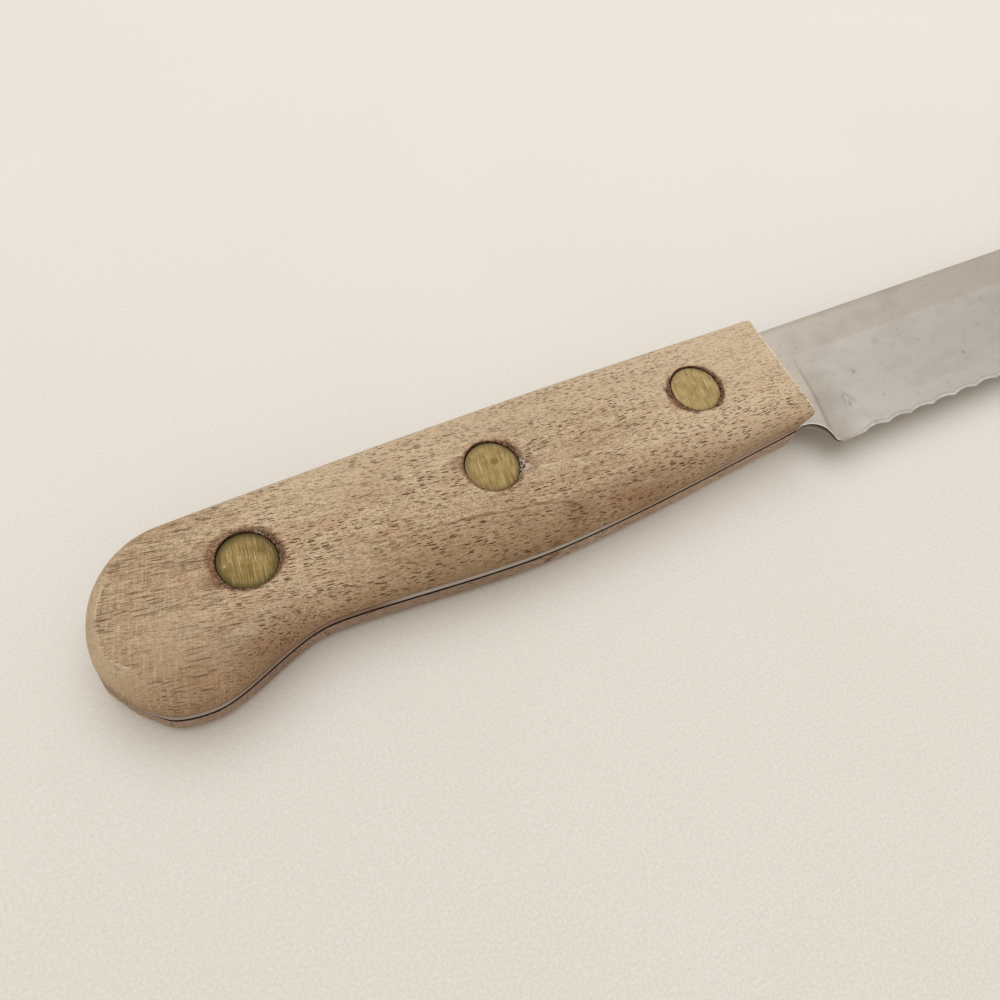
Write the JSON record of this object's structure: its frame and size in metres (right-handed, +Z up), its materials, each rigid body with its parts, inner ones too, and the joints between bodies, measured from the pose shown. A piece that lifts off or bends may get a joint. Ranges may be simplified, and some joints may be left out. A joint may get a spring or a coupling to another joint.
{
  "type": "serrated knife",
  "caption": "Serrated kitchen knife: a hollow-ground steel blade with a full tang between riveted wooden scales, and a hooked butt.",
  "frame": {"origin": "middle of the bounding box in plan, at the height of the lower scale's flat outer face", "axes": "+X along the blade towards the tip, +Y across the blade from the cutting edge towards the spine, +Z up from the lower scale through the tang to the upper scale"},
  "size_m": [0.2982, 0.028, 0.0119],
  "materials": {
    "steel": "satin, with fine scratches",
    "wood": "bare and faded, open pores",
    "brass": "sanded flat and dull"
  },
  "bodies": {
    "root": {"blade": "steel", "upper_scale": "wood", "lower_scale": "wood", "butt_rivet_socket": "brass", "butt_rivet_post": "brass", "middle_rivet_socket": "brass", "middle_rivet_post": "brass", "front_rivet_socket": "brass", "front_rivet_post": "brass"}
  },
  "joints": []
}
